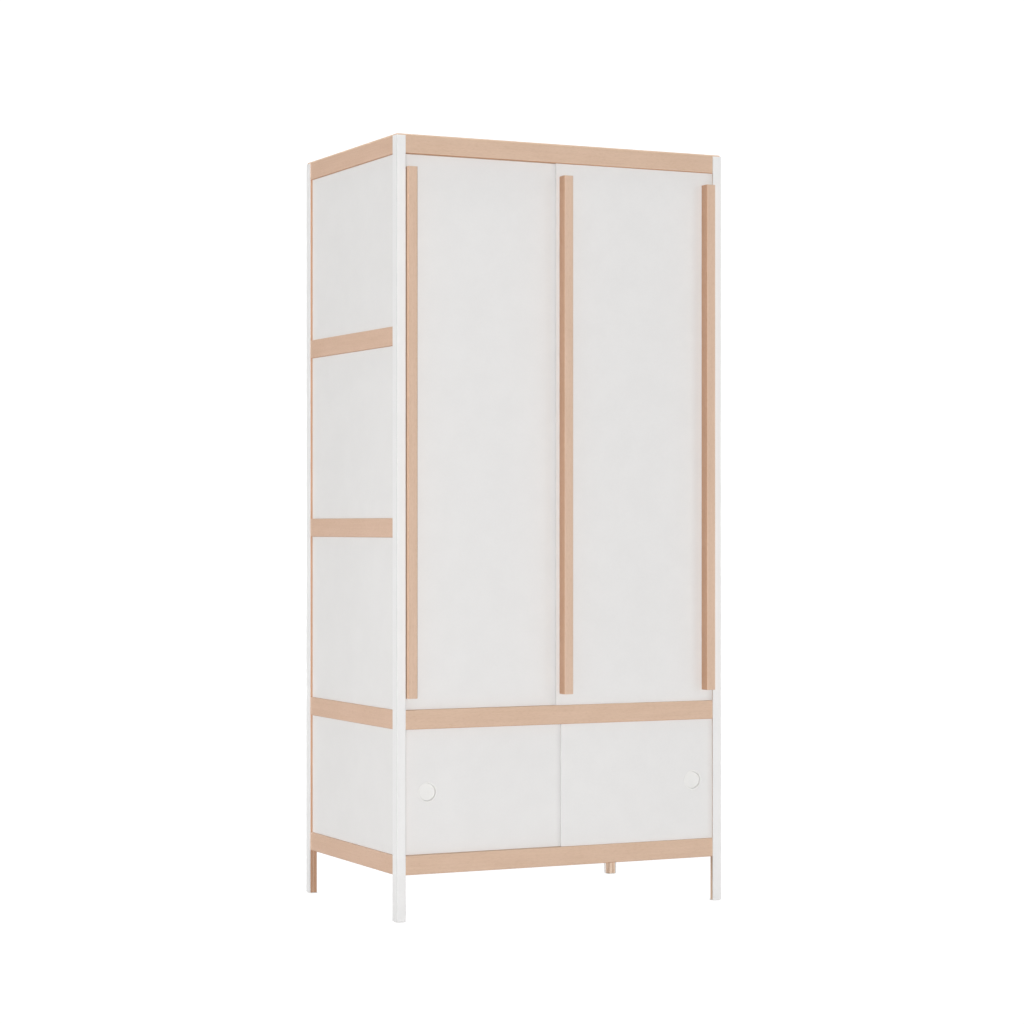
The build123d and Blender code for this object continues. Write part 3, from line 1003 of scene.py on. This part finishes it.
@dataclass
class Rails:
    """The rails round the case: five levels on the sides and the back, and three in front."""

    shop: Workshop
    groove: Groove = field(default_factory=Groove)
    ease: float = 2.0 * MM
    ledge: float = 6.5 * MM
    front_ledge: float = 4.5 * MM
    shelf_thickness: float = 12.0 * MM
    track_width: float = 6.0 * MM
    tracks: tuple[float, float] = (10.5 * MM, 20.5 * MM)
    floor_track_depth: float = 6.0 * MM
    head_track_depth: float = 12.0 * MM
    underside_slant: float = 0.5
    levels: tuple[str, ...] = ("bottom", "lower", "centre", "upper", "top")
    front_levels: tuple[str, ...] = ("bottom", "middle", "top")
    shelf_levels: tuple[str, ...] = ("bottom", "lower")

    def build(self) -> None:
        """Makes the sub-assembly."""
        for level in self.levels:
            for way in (*Side, End.REAR):
                self._case_rail(level, way)
        for level in self.front_levels:
            self._front_rail(level)
        self.shop.dress_node("rail_dowels", self.shop.finishes.dowel)
        self.shop.dress_node("door_runners", self.shop.finishes.runner)

    def _eased(self, stock: Stock, level: str, **face: float) -> Stock:
        """Rounds a rail along its outer face, but not where the top board lies on it."""
        stock.ease(self.ease, 4, z=stock.box.low.z, **face)
        return stock if level == "top" else stock.ease(self.ease, 4, z=stock.box.high.z, **face)

    def _deliver(self, stock: Stock, node: str) -> None:
        """Delivers a rail, whose underside is painted a darker brown, as shade."""
        finishes = self.shop.finishes
        grains = {
            Axis.X: (finishes.rail_across, finishes.rail_across_edge),
            Axis.Y: (finishes.rail_deep, finishes.rail_deep_edge),
        }
        mesh = stock.run_out()
        for face in mesh.faces:
            # Painted shade: faces that look down get the darker brown.
            face.material_index = int(face.normal.z < -self.underside_slant)
        self.shop.deliver(mesh, node, *grains[stock.run])

    def _case_rail(self, level: str, way: Way) -> None:
        """Makes one rail of a side or the back, grooved for the panels above and below it."""
        wall, run = ("back", Axis.X) if way is End.REAR else (way.word, Axis.Y)
        node = f"{wall}_rail_{level}"
        box, across = Box.of(node), way.axis.word
        low, high = box.low.z, box.high.z
        stock = self._eased(Stock(box, run), level, **{across: box.outer(way)})
        walls = self.groove.walls(self.shop, way)
        if level != "bottom":
            stock.notch(**{across: walls, "z": (low, low + self.groove.depth)})
        if level != "top":
            stock.notch(**{across: walls, "z": (high - self.groove.depth, high)})
        if level in self.shelf_levels:
            ledge = (box.inner(way), box.inner(way) + way.value * self.ledge)
            stock.notch(**{across: ledge, "z": (high - self.shelf_thickness, high)})
        self._deliver(stock, node)

    def _front_rail(self, level: str) -> None:
        """Makes one front rail, with two door tracks above and below as its place needs."""
        node = f"front_rail_{level}"
        box = Box.of(node)
        low, high = box.low.z, box.high.z
        stock = self._eased(Stock(box, Axis.X), level, y=box.low.y)
        for inset in self.tracks:
            start = self.shop.inset(End.FRONT, inset)
            track = (start, start + self.track_width)
            if level != "bottom":
                stock.notch(y=track, z=(low, low + self.head_track_depth))
            if level != "top":
                stock.notch(y=track, z=(high - self.floor_track_depth, high))
        if level != "top":
            ledge = (box.high.y - self.front_ledge, box.high.y)
            stock.notch(y=ledge, z=(high - self.shelf_thickness, high))
        self._deliver(stock, node)


@dataclass
class PanelsAndBoards:
    """The thin panels between the rails, the two shelves, and the top board."""

    shop: Workshop
    shelf_notch: float = 0.5 * MM
    shelf_ease: float = 0.5 * MM
    top_radius: float = 1.0 * MM
    top_ease: float = 0.9 * MM
    top_slant: float = 0.8
    rows: tuple[str, ...] = ("bottom", "lower", "upper", "top")
    shelves: tuple[str, ...] = ("bottom_board", "middle_board")

    def build(self) -> None:
        """Makes the sub-assembly."""
        finishes = self.shop.finishes
        for row in self.rows:
            for wall, axis in (("left", Axis.X), ("right", Axis.X), ("back", Axis.Y)):
                node = f"{wall}_panel_{row}"
                self.shop.deliver(Stock(Box.of(node), axis).run_out(), node, finishes.panel)
        for node in self.shelves:
            self._shelf(node)
        board = Stock(Box.of("top_board"), Axis.Z).ease(self.top_radius, 3)
        top = board.run_out(self.top_ease, 3)
        # Painted highlight: the board's upright and eased faces get the paler beech.
        for face in top.faces:
            face.material_index = int(abs(face.normal.z) < self.top_slant)
        self.shop.deliver(top, "top_board", finishes.top_board, finishes.top_board_edge)

    def _shelf(self, node: str) -> None:
        """Makes one shelf, cut out round the rear posts."""
        box = Box.of(node)
        stock = Stock(box, Axis.Z)
        for side in Side:
            post = Box.of(f"post_rear_{side.word}")
            stock.notch(
                x=(box.outer(side), post.inner(side) - side.value * self.shelf_notch),
                y=(post.low.y - self.shelf_notch, box.high.y),
            )
        self.shop.deliver(stock.run_out(self.shelf_ease), node, self.shop.finishes.panel)


@dataclass(frozen=True)
class ScrewHead:
    """A screw with a six-sided recess in its head. Shares are of the size that they follow."""

    shank: float
    head: float
    height: float
    recess: float
    recess_depth: float
    domed: bool
    dome_share: float = 0.55
    land: float = 0.12 * MM
    recess_flare: float = 1.06
    recess_reach: float = 1.2
    crown_share: float = 0.82
    crown_rise: float = 0.18
    point_length: float = 1.6
    point_share: float = 0.15
    edge_ease: float = 0.15 * MM
    steps: int = 24

    def make(self, face: Vector, tip: Vector, axis: Axis) -> Mesh:
        """Makes the screw from its shank's tip to the top of its head.

        Args:
            face: the middle of the head's top.
            tip: the tip of the shank.
            axis: the axis that the screw lies along.

        Returns:
            The screw's mesh.
        """
        length = (tip - face).dot(axis.unit)
        way = math.copysign(1.0, length)
        seat = way * self.height
        rim = seat * self.dome_share if self.domed else self.land * way
        under_head = [(self.head, seat), (self.shank, seat)] if self.domed else [(self.shank, seat)]
        outline = [
            (0.0, way * self.recess_depth),
            (self.recess, way * self.recess_depth),
            (self.recess * self.recess_flare, 0.0),
            (self.head * self.crown_share, rim * self.crown_rise),
            (self.head, rim),
            *under_head,
            (self.shank, length - way * self.shank * self.point_length),
            (self.shank * self.point_share, length),
            (0.0, length),
        ]
        mesh = turned(outline, face, axis, self.steps)
        for vert in mesh.verts:
            self._hex(vert, face, axis)
        soften(mesh, self.edge_ease)
        return mesh

    def _hex(self, vert: bmesh.types.BMVert, face: Vector, axis: Axis) -> None:
        """Moves a vertex of the round recess on to a hexagon's side."""
        off = vert.co - face
        radial = off - axis.unit * off.dot(axis.unit)
        inside = abs(off.dot(axis.unit)) <= self.recess_depth + SAME_PLACE
        if not inside or not SAME_PLACE < radial.length < self.recess * self.recess_reach:
            return
        first, second = (axis.after(step).value for step in (1, 2))
        half = math.radians(30)
        angle = math.atan2(radial[second], radial[first]) % (2 * half) - half
        vert.co -= radial * (1 - math.cos(half) / math.cos(angle))


@dataclass
class TallDoor:
    """An upper door: a thin sliding leaf, its beech bars, and the screws that hold them."""

    shop: Workshop
    side: Side
    bars: tuple[str, ...]
    bar_radius: float = 2.0 * MM
    bar_ease: float = 0.8 * MM
    left_slants: Span = (0.3, 0.95)
    right_slants: Span = (0.6, math.inf)
    leaf_ease: float = 0.6 * MM
    hole: float = 4.1 * MM
    hole_segments: int = 20
    screws_each: int = 4
    screw_margin: float = 120.0 * MM
    screw_sink: float = 0.1 * MM
    screw: ScrewHead = ScrewHead(2.0 * MM, 4.0 * MM, 2.0 * MM, 1.5 * MM, 1.3 * MM, domed=False)

    def build(self) -> None:
        """Makes the sub-assembly."""
        places = [
            (Box.of(bar).middle.x, z) for bar in self.bars for z in self._heights(Box.of(bar))
        ]
        node = f"upper_{self.side.word}_door"
        leaf = Box.of(node)
        holes = [Hole(x, z, self.hole, self.hole_segments) for x, z in places]
        sheet = drilled_sheet(leaf, holes, self.leaf_ease)
        self.shop.deliver(sheet, node, self.shop.finishes.leaf)
        for bar in self.bars:
            self._bar(bar)
        self._screws(places, leaf)

    def _heights(self, bar: Box) -> list[float]:
        """The height of each screw of a bar."""
        low, high = bar.low.z + self.screw_margin, bar.high.z - self.screw_margin
        gaps = self.screws_each - 1
        return [low + (high - low) * step / gaps for step in range(self.screws_each)]

    def _bar(self, node: str) -> None:
        """Makes one bar, rounded along its front.

        Its rounding and sides are painted a darker beech, as shade. On the left door, whose bar
        stands in the corner profile's shade, the flat of the sides is painted paler, as light.
        """
        box = Box.of(node)
        stock = Stock(box, Axis.Z).ease(self.bar_radius, 5, y=box.low.y)
        mesh = stock.run_out(self.bar_ease, 3)
        # Painted shade on the rounding and sides; painted light on the left bar's flat sides.
        rounding, flat = self.left_slants if self.side is Side.LEFT else self.right_slants
        for face in mesh.faces:
            slant = abs(face.normal.x)
            face.material_index = int(slant > rounding) + int(slant > flat)
        finishes = self.shop.finishes
        self.shop.deliver(mesh, node, finishes.bar, finishes.bar_edge, finishes.bar_shade)

    def _screws(self, places: list[Span], leaf: Box) -> None:
        """Makes the countersunk screws, with their heads in the back of the leaf."""
        node = f"upper_{self.side.word}_bar_screws"
        back, tip = leaf.high.y - self.screw_sink, Box.of(node).low.y
        screws = bmesh.new()
        for x, z in places:
            screw = self.screw.make(Vector((x, back, z)), Vector((x, tip, z)), Axis.Y)
            add_to(screws, screw)
        self.shop.deliver(screws, node, self.shop.finishes.zinc)


@dataclass
class LowDoor:
    """A lower door: a thin sliding leaf and a round finger pull."""

    shop: Workshop
    side: Side
    leaf_ease: float = 0.6 * MM
    hole_segments: int = 48
    proud: float = 1.0 * MM
    depth: float = 6.3 * MM
    floor: float = 1.2 * MM
    rim: float = 4.0 * MM
    wall: float = 2.0 * MM
    play: float = 0.2 * MM
    floor_radius: float = 2.6 * MM
    floor_steps: int = 6
    rim_ease: float = 0.45 * MM
    wall_slant: float = 0.75
    steps: int = 96

    def build(self) -> None:
        """Makes the sub-assembly."""
        door, pull = f"lower_{self.side.word}_door", f"lower_{self.side.word}_pull"
        leaf, cup = Box.of(door), Box.of(pull)
        radius = self._bore(cup) + self.wall + self.play
        hole = Hole(cup.middle.x, cup.middle.z, radius, self.hole_segments)
        sheet = drilled_sheet(leaf, [hole], self.leaf_ease)
        self.shop.deliver(sheet, door, self.shop.finishes.leaf)
        self._pull(pull, cup, leaf.low.y)

    def _bore(self, cup: Box) -> float:
        """The radius of the cup inside."""
        return cup.size.x / 2 - self.rim

    def _pull(self, node: str, cup: Box, face: float) -> None:
        """Makes the cup in one turn, with its floor coved and its rim rounded."""
        bore, edge, cove = self._bore(cup), cup.size.x / 2, self.floor_radius
        outline = [(0.0, self.depth), (bore - cove, self.depth)]
        for step in range(1, self.floor_steps):
            angle = math.radians(90 * step / self.floor_steps)
            out, up = cove * math.sin(angle), cove * (1 - math.cos(angle))
            outline.append((bore - cove + out, self.depth - up))
        outline += [
            (bore, self.depth - cove),
            (bore, -self.proud),
            (edge, -self.proud),
            (edge, 0.0),
            (bore + self.wall, 0.0),
            (bore + self.wall, self.depth + self.floor),
            (0.0, self.depth + self.floor),
        ]
        centre = Vector((cup.middle.x, face, cup.middle.z))
        mesh = turned(outline, centre, Axis.Y, self.steps)
        soften(mesh, self.rim_ease, 3, sharper_than=60)
        # Painted shade: faces that slant away from the front, the walls above all, get greyer.
        for face in mesh.faces:
            face.material_index = int(abs(face.normal.y) < self.wall_slant)
        self.shop.deliver(mesh, node, self.shop.finishes.plastic, self.shop.finishes.plastic_wall)


@dataclass
class ClothesRail:
    """The clothes rail: a steel tube that lies loose in two sockets, and the sockets' screws."""

    shop: Workshop
    wall: float = 1.5 * MM
    tube_ease: float = 0.3 * MM
    tube_steps: int = 64
    play: float = 0.3 * MM
    cup_wall: float = 4.0 * MM
    cup_ease: float = 0.6 * MM
    cup_steps: int = 32
    plate: float = 3.0 * MM
    plate_radius: float = 3.0 * MM
    plate_ease: float = 0.5 * MM
    foot_flat: float = 0.2 * MM
    arm: float = 8.0 * MM
    screw_drops: tuple[float, float] = (9.0 * MM, 25.0 * MM)
    screw: ScrewHead = ScrewHead(2.0 * MM, 4.2 * MM, 2.4 * MM, 1.7 * MM, 1.4 * MM, domed=True)

    def build(self) -> None:
        """Makes the sub-assembly."""
        rod = Box.of("hanging_rod")
        radius = rod.size.z / 2
        inner = radius - self.wall
        left, right = rod.low.x, rod.high.x
        ring = [(inner, left), (radius, left), (radius, right), (inner, right)]
        centre = Vector((0, rod.middle.y, rod.middle.z))
        tube = turned(ring, centre, Axis.X, self.tube_steps)
        soften(tube, self.tube_ease)
        self.shop.deliver(tube, "hanging_rod", self.shop.finishes.steel)
        for side in Side:
            self._socket(side, rod)
        self._screws()

    def _socket(self, side: Side, rod: Box) -> None:
        """Makes one socket: a plate with a rounded foot, and a cup that is open at the top."""
        node = f"rod_socket_{side.word}"
        box = Box.of(node)
        wall, lip = box.outer(side), box.inner(side)
        face = wall - side.value * self.plate
        plate_box = box.spanning(x=(wall, face))
        plate = Stock(plate_box, Axis.X)
        plate.ease(plate_box.size.y / 2 - self.foot_flat, 12, z=box.low.z)
        plate.ease(self.plate_radius, 4, z=box.high.z)
        whole = plate.run_out(self.plate_ease, 3)
        add_to(whole, self._cup(face, lip, rod))
        self.shop.deliver(whole, node, self.shop.finishes.plastic)

    def _cup(self, face: float, lip: float, rod: Box) -> Mesh:
        """Makes one socket's cup: half a ring under the rod, with an arm up from each end.

        Args:
            face: X of the plate's face.
            lip: X of the cup's free edge.
            rod: the rod's box.

        Returns:
            The cup's mesh.
        """
        bore = rod.size.z / 2 + self.play
        rim = bore + self.cup_wall
        cup = bmesh.new()
        corners = [
            cup.verts.new((x, rod.middle.y + radius, rod.middle.z))
            for x, radius in ((face, bore), (lip, bore), (lip, rim), (face, rim))
        ]
        start = cup.faces.new(corners)
        sweep = bmesh.ops.spin(
            cup,
            geom=[start, *start.verts, *start.edges],
            cent=(0, rod.middle.y, rod.middle.z),
            axis=(1, 0, 0),
            angle=-math.pi,
            steps=self.cup_steps,
        )
        last = [part for part in sweep["geom_last"] if isinstance(part, bmesh.types.BMFace)]
        for end in (start, *last):
            push_out(cup, [end], (0, 0, self.arm))
        bmesh.ops.recalc_face_normals(cup, faces=cup.faces[:])
        soften(cup, self.cup_ease, 3)
        return cup

    def _screws(self) -> None:
        """Makes the screws that hold the sockets to the rails."""
        box = Box.of("socket_screws")
        plate = Box.of("rod_socket_left")
        screws = bmesh.new()
        for side in Side:
            inner = Box.of(f"rod_socket_{side.word}").outer(side) - side.value * self.plate
            head = inner - side.value * self.screw.height
            for drop in self.screw_drops:
                y, z = plate.middle.y, plate.high.z - drop
                top, tip = Vector((head, y, z)), Vector((box.outer(side), y, z))
                add_to(screws, self.screw.make(top, tip, Axis.X))
        self.shop.deliver(screws, "socket_screws", self.shop.finishes.zinc)


# ---------------------------------------------------------------------------------------------
# Studio
# ---------------------------------------------------------------------------------------------


@dataclass(frozen=True)
class Softbox:
    """A large soft lamp that faces the wardrobe.

    Its share is the light that it gives to a surface that faces it, beside what a full white
    surround would give.
    """

    name: str
    place: tuple[float, float, float]
    size: float
    share: float

    def hang(self, target: Vector) -> None:
        """Hangs the lamp and turns it to a target."""
        way = target - Vector(self.place)
        data = bpy.data.lights.new(self.name, "AREA")
        data.size = self.size
        data.energy = self.share * math.pi**2 * way.length_squared
        lamp = bpy.data.objects.new(self.name, data)
        lamp.location = self.place
        lamp.rotation_euler = way.to_track_quat("-Z", "Y").to_euler()
        bpy.context.scene.collection.objects.link(lamp)


@dataclass
class Studio:
    """A pale floor that runs out of sight, a white surround, soft lamps, and the camera.

    The surround and the floor show themselves whiter than the light that they give.
    """

    surround_light: float = 0.25
    surround_shown: float = 1.1
    floor_size: float = 80.0
    floor_reflection: float = 0.65
    floor_reflection_shown: float = 0.08
    lamps: tuple[Softbox, ...] = (
        Softbox("front_softbox", (-6.95, -14.4, 0.6), 2.0, 0.785),
        Softbox("fill_softbox", (9.0, -10.0, 2.0), 3.5, 0.085),
        Softbox("left_softbox", (-14.0, 0.0, 0.8), 2.0, 0.41),
        Softbox("right_softbox", (14.0, 0.0, 0.8), 2.0, 0.54),
        Softbox("rear_softbox", (0.0, 14.0, 0.8), 2.0, 0.56),
        Softbox("top_softbox", (0.0, 0.0, 7.0), 3.0, 0.5),
    )
    middle: tuple[float, float, float] = (0.0, 0.0, 1.0)
    camera_place: tuple[float, float, float] = (-3.1766, -6.5784, 1.021)
    camera_heading: tuple[float, float, float] = (0.4345, 0.9007, 0.0)
    lens: float = 93.3
    sensor_width: float = 36.0
    rise: float = 0.0132

    def build(self) -> None:
        """Sets everything up."""
        self._surround()
        self._floor()
        for lamp in self.lamps:
            lamp.hang(Vector(self.middle))
        self._camera()
        bpy.context.scene.view_settings.view_transform = "Standard"

    @staticmethod
    def _given_and_shown(wiring: Wiring, given: float, shown: float) -> Socket:
        """A value that is one number for light on its way and another for what is looked at."""
        seen = wiring.add("LightPath").outputs["Is Camera Ray"]
        return wiring.add("MapRange", {"Value": seen, "To Min": given, "To Max": shown}).outputs[0]

    def _surround(self) -> None:
        """Hangs the surround, which gives the wardrobe a softer light than it shows."""
        world = bpy.data.worlds.new("white_surround")
        world.use_nodes = True
        wiring = Wiring(world.node_tree)
        strength = self._given_and_shown(wiring, self.surround_light, self.surround_shown)
        light = wiring.add("Background", {"Color": WHITE, "Strength": strength})
        wiring.add("OutputWorld", {"Surface": light.outputs[0]})
        bpy.context.scene.world = world

    def _floor(self) -> None:
        """Lays the floor, which throws light back up and shows itself as white as the surround."""
        mesh = bmesh.new()
        bmesh.ops.create_grid(mesh, x_segments=1, y_segments=1, size=self.floor_size / 2)
        data = bpy.data.meshes.new("studio_floor")
        mesh.to_mesh(data)
        mesh.free()
        floor = bpy.data.objects.new("studio_floor", data)
        bpy.context.scene.collection.objects.link(floor)
        material = bpy.data.materials.new("studio_floor")
        material.use_nodes = True
        wiring = Wiring(material.node_tree)
        glow = self._given_and_shown(wiring, 0.0, 1.0)
        reflection = self._given_and_shown(
            wiring, self.floor_reflection, self.floor_reflection_shown
        )
        inputs = {
            "Base Color": reflection,
            "Roughness": 1.0,
            "Specular IOR Level": 0.0,
            "Emission Color": WHITE,
            "Emission Strength": glow,
        }
        shader = wiring.add("BsdfPrincipled", inputs)
        wiring.add("OutputMaterial", {"Surface": shader.outputs["BSDF"]})
        data.materials.append(material)

    def _camera(self) -> None:
        """Stands the camera to the front left, level, at about half the wardrobe's height."""
        data = bpy.data.cameras.new("camera")
        data.lens, data.sensor_width, data.shift_y = self.lens, self.sensor_width, self.rise
        camera = bpy.data.objects.new("camera", data)
        camera.location = self.camera_place
        camera.rotation_euler = Vector(self.camera_heading).to_track_quat("-Z", "Y").to_euler()
        bpy.context.scene.collection.objects.link(camera)
        bpy.context.scene.camera = camera


def main() -> None:
    """Builds the wardrobe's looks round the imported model."""
    logging.basicConfig(level=logging.INFO, format="%(name)s %(message)s")
    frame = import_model()
    shop = Workshop(frame)
    CornerFrame(shop).build()
    Rails(shop).build()
    PanelsAndBoards(shop).build()
    TallDoor(shop, Side.LEFT, ("upper_left_door_bar",)).build()
    right_bars = ("upper_right_door_bar_inner", "upper_right_door_bar_outer")
    TallDoor(shop, Side.RIGHT, right_bars).build()
    for side in Side:
        LowDoor(shop, side).build()
    ClothesRail(shop).build()
    Studio().build()


if __name__ == "__main__":
    main()
